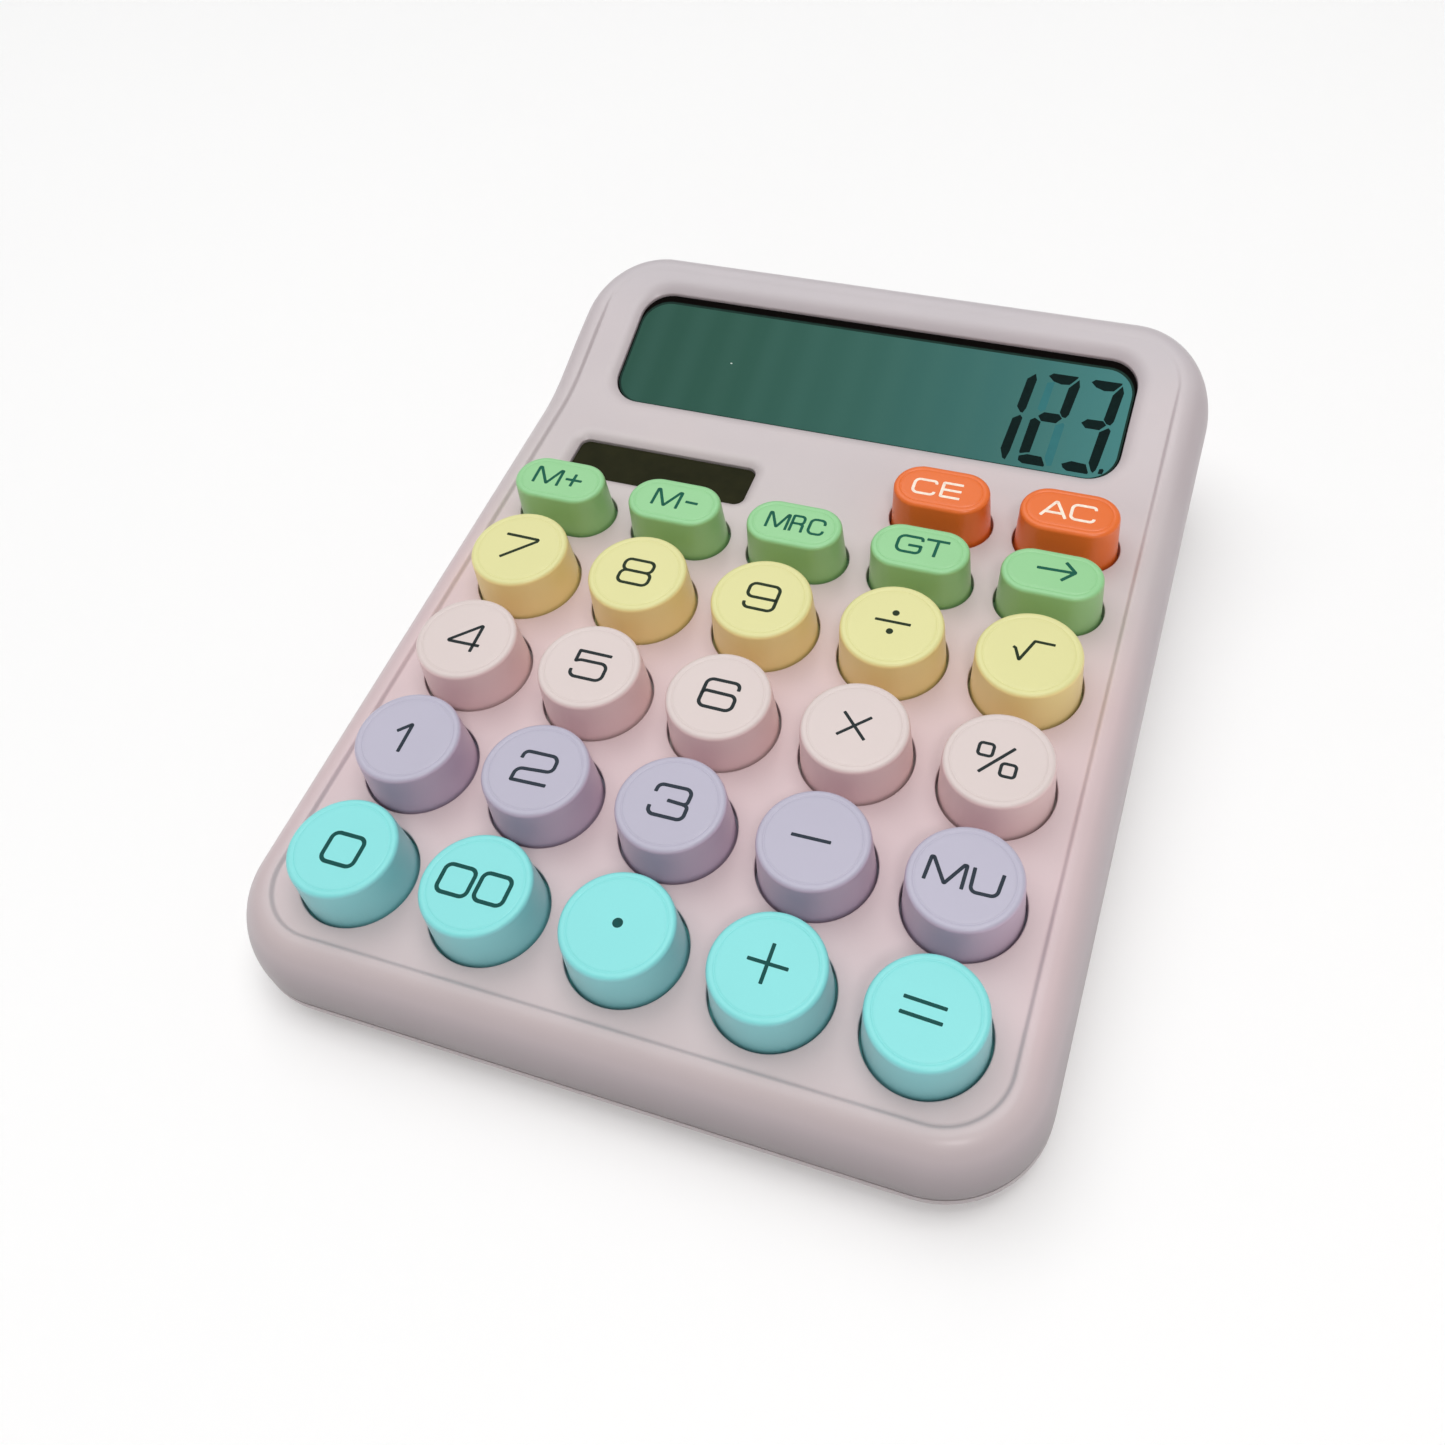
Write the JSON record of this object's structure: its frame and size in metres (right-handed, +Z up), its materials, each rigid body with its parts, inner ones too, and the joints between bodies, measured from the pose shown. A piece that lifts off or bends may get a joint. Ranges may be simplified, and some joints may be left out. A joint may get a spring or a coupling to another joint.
{
  "type": "desk calculator",
  "caption": "Desk calculator with a wedge case, tilted segment display, solar cell window and tall round and oval keys that press down and spring back.",
  "frame": {"origin": "centre of the bounding box on the desk plane, under the rubber feet", "axes": "+Z up from the desk, +Y from the user towards the display, +X to the right as the keys are read"},
  "size_m": [0.1086, 0.1406, 0.0308],
  "materials": {
    "case_plastic": "satin moulded plastic, pale greyish pink",
    "key_cyan_plastic": "satin moulded plastic",
    "key_lilac_plastic": "satin moulded plastic",
    "key_cream_plastic": "satin moulded plastic",
    "key_yellow_plastic": "satin moulded plastic",
    "key_green_plastic": "satin moulded plastic",
    "key_orange_plastic": "satin moulded plastic",
    "cell_sleeve": "printed film sleeve over a steel can",
    "contact_steel": "nickel plated spring steel",
    "black_foam": "closed-cell foam",
    "lcd_glass": "glass cell under a matt polarising film, opaque grey-green",
    "white_plastic": "moulded",
    "ribbon_film": "polyester film with printed tracks",
    "solar_glass": "dark brown amorphous cell behind glass",
    "board_laminate": "glass-fibre laminate with green mask",
    "pad_brass": "plated contact pads",
    "silicone_rubber": "silicone, translucent white",
    "black_resin": "potting resin",
    "board_part_plastic": "moulded",
    "red_wire": "insulation",
    "black_wire": "insulation",
    "screw_steel": "zinc plated",
    "foot_rubber": "moulded rubber"
  },
  "bodies": {
    "case": {"top_case": "case_plastic", "bottom_case": "case_plastic", "battery_cell": "cell_sleeve", "battery_plate": "contact_steel", "battery_spring": "contact_steel", "lcd_gasket": "black_foam", "lcd_panel": "lcd_glass", "lcd_holder": "white_plastic", "lcd_ribbon": "ribbon_film", "solar_cell": "solar_glass", "solar_pad": "black_foam", "main_board": "board_laminate", "contact_pads": "pad_brass", "keypad_mat": "silicone_rubber", "processor_blob": "black_resin", "board_parts": "board_part_plastic", "battery_wires": "red_wire", "solar_wires": "black_wire", "board_screws": "screw_steel", "case_screws": "screw_steel", "lcd_screws": "screw_steel", "rubber_feet": "foot_rubber"},
    "battery_door": {"battery_door": "case_plastic"},
    "key_0": {"key_0": "key_cyan_plastic"},
    "key_00": {"key_00": "key_cyan_plastic"},
    "key_dot": {"key_dot": "key_cyan_plastic"},
    "key_plus": {"key_plus": "key_cyan_plastic"},
    "key_equals": {"key_equals": "key_cyan_plastic"},
    "key_1": {"key_1": "key_lilac_plastic"},
    "key_2": {"key_2": "key_lilac_plastic"},
    "key_3": {"key_3": "key_lilac_plastic"},
    "key_minus": {"key_minus": "key_lilac_plastic"},
    "key_mu": {"key_mu": "key_lilac_plastic"},
    "key_4": {"key_4": "key_cream_plastic"},
    "key_5": {"key_5": "key_cream_plastic"},
    "key_6": {"key_6": "key_cream_plastic"},
    "key_times": {"key_times": "key_cream_plastic"},
    "key_percent": {"key_percent": "key_cream_plastic"},
    "key_7": {"key_7": "key_yellow_plastic"},
    "key_8": {"key_8": "key_yellow_plastic"},
    "key_9": {"key_9": "key_yellow_plastic"},
    "key_divide": {"key_divide": "key_yellow_plastic"},
    "key_root": {"key_root": "key_yellow_plastic"},
    "key_mem_plus": {"key_mem_plus": "key_green_plastic"},
    "key_mem_minus": {"key_mem_minus": "key_green_plastic"},
    "key_mem_recall": {"key_mem_recall": "key_green_plastic"},
    "key_total": {"key_total": "key_green_plastic"},
    "key_arrow": {"key_arrow": "key_green_plastic"},
    "key_ce": {"key_ce": "key_orange_plastic"},
    "key_ac": {"key_ac": "key_orange_plastic"}
  },
  "joints": [
    {"name": "battery_door_slide", "type": "slide", "parent": "case", "child": "battery_door", "axis": [0, 1, 0], "range_m": [0, 0.022]},
    {"name": "key_0_press", "type": "slide", "parent": "case", "child": "key_0", "axis": [0, 0.0698, -0.9976], "range_m": [0, 0.0025], "stiffness_N_per_m": 120, "springref_m": -0.0025},
    {"name": "key_00_press", "type": "slide", "parent": "case", "child": "key_00", "axis": [0, 0.0698, -0.9976], "range_m": [0, 0.0025], "stiffness_N_per_m": 120, "springref_m": -0.0025},
    {"name": "key_dot_press", "type": "slide", "parent": "case", "child": "key_dot", "axis": [0, 0.0698, -0.9976], "range_m": [0, 0.0025], "stiffness_N_per_m": 120, "springref_m": -0.0025},
    {"name": "key_plus_press", "type": "slide", "parent": "case", "child": "key_plus", "axis": [0, 0.0698, -0.9976], "range_m": [0, 0.0025], "stiffness_N_per_m": 120, "springref_m": -0.0025},
    {"name": "key_equals_press", "type": "slide", "parent": "case", "child": "key_equals", "axis": [0, 0.0698, -0.9976], "range_m": [0, 0.0025], "stiffness_N_per_m": 120, "springref_m": -0.0025},
    {"name": "key_1_press", "type": "slide", "parent": "case", "child": "key_1", "axis": [0, 0.0698, -0.9976], "range_m": [0, 0.0025], "stiffness_N_per_m": 120, "springref_m": -0.0025},
    {"name": "key_2_press", "type": "slide", "parent": "case", "child": "key_2", "axis": [0, 0.0698, -0.9976], "range_m": [0, 0.0025], "stiffness_N_per_m": 120, "springref_m": -0.0025},
    {"name": "key_3_press", "type": "slide", "parent": "case", "child": "key_3", "axis": [0, 0.0698, -0.9976], "range_m": [0, 0.0025], "stiffness_N_per_m": 120, "springref_m": -0.0025},
    {"name": "key_minus_press", "type": "slide", "parent": "case", "child": "key_minus", "axis": [0, 0.0698, -0.9976], "range_m": [0, 0.0025], "stiffness_N_per_m": 120, "springref_m": -0.0025},
    {"name": "key_mu_press", "type": "slide", "parent": "case", "child": "key_mu", "axis": [0, 0.0698, -0.9976], "range_m": [0, 0.0025], "stiffness_N_per_m": 120, "springref_m": -0.0025},
    {"name": "key_4_press", "type": "slide", "parent": "case", "child": "key_4", "axis": [0, 0.0698, -0.9976], "range_m": [0, 0.0025], "stiffness_N_per_m": 120, "springref_m": -0.0025},
    {"name": "key_5_press", "type": "slide", "parent": "case", "child": "key_5", "axis": [0, 0.0698, -0.9976], "range_m": [0, 0.0025], "stiffness_N_per_m": 120, "springref_m": -0.0025},
    {"name": "key_6_press", "type": "slide", "parent": "case", "child": "key_6", "axis": [0, 0.0698, -0.9976], "range_m": [0, 0.0025], "stiffness_N_per_m": 120, "springref_m": -0.0025},
    {"name": "key_times_press", "type": "slide", "parent": "case", "child": "key_times", "axis": [0, 0.0698, -0.9976], "range_m": [0, 0.0025], "stiffness_N_per_m": 120, "springref_m": -0.0025},
    {"name": "key_percent_press", "type": "slide", "parent": "case", "child": "key_percent", "axis": [0, 0.0698, -0.9976], "range_m": [0, 0.0025], "stiffness_N_per_m": 120, "springref_m": -0.0025},
    {"name": "key_7_press", "type": "slide", "parent": "case", "child": "key_7", "axis": [0, 0.0698, -0.9976], "range_m": [0, 0.0025], "stiffness_N_per_m": 120, "springref_m": -0.0025},
    {"name": "key_8_press", "type": "slide", "parent": "case", "child": "key_8", "axis": [0, 0.0698, -0.9976], "range_m": [0, 0.0025], "stiffness_N_per_m": 120, "springref_m": -0.0025},
    {"name": "key_9_press", "type": "slide", "parent": "case", "child": "key_9", "axis": [0, 0.0698, -0.9976], "range_m": [0, 0.0025], "stiffness_N_per_m": 120, "springref_m": -0.0025},
    {"name": "key_divide_press", "type": "slide", "parent": "case", "child": "key_divide", "axis": [0, 0.0698, -0.9976], "range_m": [0, 0.0025], "stiffness_N_per_m": 120, "springref_m": -0.0025},
    {"name": "key_root_press", "type": "slide", "parent": "case", "child": "key_root", "axis": [0, 0.0698, -0.9976], "range_m": [0, 0.0025], "stiffness_N_per_m": 120, "springref_m": -0.0025},
    {"name": "key_mem_plus_press", "type": "slide", "parent": "case", "child": "key_mem_plus", "axis": [0, 0.0698, -0.9976], "range_m": [0, 0.0025], "stiffness_N_per_m": 120, "springref_m": -0.0025},
    {"name": "key_mem_minus_press", "type": "slide", "parent": "case", "child": "key_mem_minus", "axis": [0, 0.0698, -0.9976], "range_m": [0, 0.0025], "stiffness_N_per_m": 120, "springref_m": -0.0025},
    {"name": "key_mem_recall_press", "type": "slide", "parent": "case", "child": "key_mem_recall", "axis": [0, 0.0698, -0.9976], "range_m": [0, 0.0025], "stiffness_N_per_m": 120, "springref_m": -0.0025},
    {"name": "key_total_press", "type": "slide", "parent": "case", "child": "key_total", "axis": [0, 0.0698, -0.9976], "range_m": [0, 0.0025], "stiffness_N_per_m": 120, "springref_m": -0.0025},
    {"name": "key_arrow_press", "type": "slide", "parent": "case", "child": "key_arrow", "axis": [0, 0.0698, -0.9976], "range_m": [0, 0.0025], "stiffness_N_per_m": 120, "springref_m": -0.0025},
    {"name": "key_ce_press", "type": "slide", "parent": "case", "child": "key_ce", "axis": [0, 0.0698, -0.9976], "range_m": [0, 0.0025], "stiffness_N_per_m": 120, "springref_m": -0.0025},
    {"name": "key_ac_press", "type": "slide", "parent": "case", "child": "key_ac", "axis": [0, 0.0698, -0.9976], "range_m": [0, 0.0025], "stiffness_N_per_m": 120, "springref_m": -0.0025}
  ]
}
